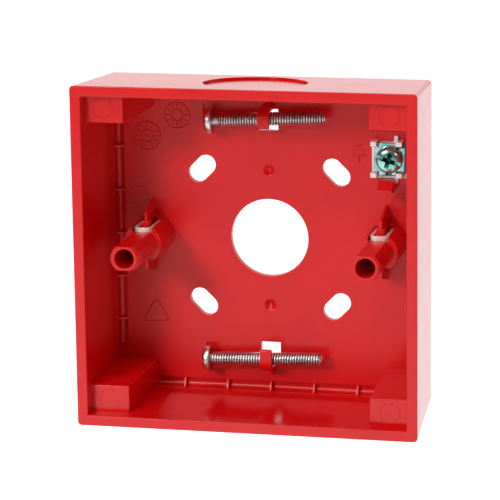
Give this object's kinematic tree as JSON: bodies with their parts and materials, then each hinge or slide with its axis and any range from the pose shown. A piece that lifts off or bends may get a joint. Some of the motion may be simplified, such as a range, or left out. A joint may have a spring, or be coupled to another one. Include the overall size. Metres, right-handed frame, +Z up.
{
  "type": "manual call point back box",
  "caption": "Square surface mounting box for a manual call point, with screw pillars, captive nuts, an earth terminal and clipped spare screws.",
  "frame": {"origin": "centre of the back face that lies on the wall, on the axis of the cable hole", "axes": "+X to the right seen from the open front, +Y out of the back into the wall, +Z up"},
  "size_m": [0.086, 0.032, 0.086],
  "materials": {
    "red_abs": "satin moulded ABS",
    "zinc_steel": "bright zinc plate",
    "green_steel": "green chromate on zinc plate"
  },
  "bodies": {
    "box": {"side_walls": "red_abs", "back_plate": "red_abs", "wall_ribs": "red_abs", "corner_post_top_left": "red_abs", "corner_post_top_right": "red_abs", "corner_post_bottom_left": "red_abs", "corner_post_bottom_right": "red_abs", "pillar_left": "red_abs", "pillar_right": "red_abs", "storage_clip_top": "red_abs", "storage_clip_bottom": "red_abs", "terminal_seat": "red_abs", "knockout_top": "red_abs", "knockout_bottom": "red_abs", "terminal_bracket": "zinc_steel"},
    "left_nut": {"captive_nut_left": "zinc_steel"},
    "right_nut": {"captive_nut_right": "zinc_steel"},
    "clamp_washer": {"terminal_clamp": "green_steel"},
    "earth_screw": {"terminal_screw": "green_steel"},
    "top_screw": {"stored_screw_top": "zinc_steel"},
    "bottom_screw": {"stored_screw_bottom": "zinc_steel"}
  },
  "joints": [
    {"name": "left_nut_lift", "type": "slide", "parent": "box", "child": "left_nut", "axis": [0, 0, 1], "range_m": [0, 0.007]},
    {"name": "right_nut_lift", "type": "slide", "parent": "box", "child": "right_nut", "axis": [0, 0, 1], "range_m": [0, 0.007]},
    {"name": "clamp_lift", "type": "slide", "parent": "box", "child": "clamp_washer", "axis": [0, -1, 0], "range_m": [0, 0.0021]},
    {"name": "earth_screw_turn", "type": "hinge", "parent": "clamp_washer", "child": "earth_screw", "pos_m": [0.032, -0.01, 0.0224], "axis": [0, -1, 0], "range_deg": [0, 1081]},
    {"name": "top_screw_out", "type": "slide", "parent": "box", "child": "top_screw", "axis": [0, 0, -1], "range_m": [0, 0.01]},
    {"name": "bottom_screw_out", "type": "slide", "parent": "box", "child": "bottom_screw", "axis": [0, 0, 1], "range_m": [0, 0.01]}
  ],
  "couplings": [
    {"joint": "earth_screw_turn", "follows": "clamp_lift", "rad_per_m": 8976}
  ]
}
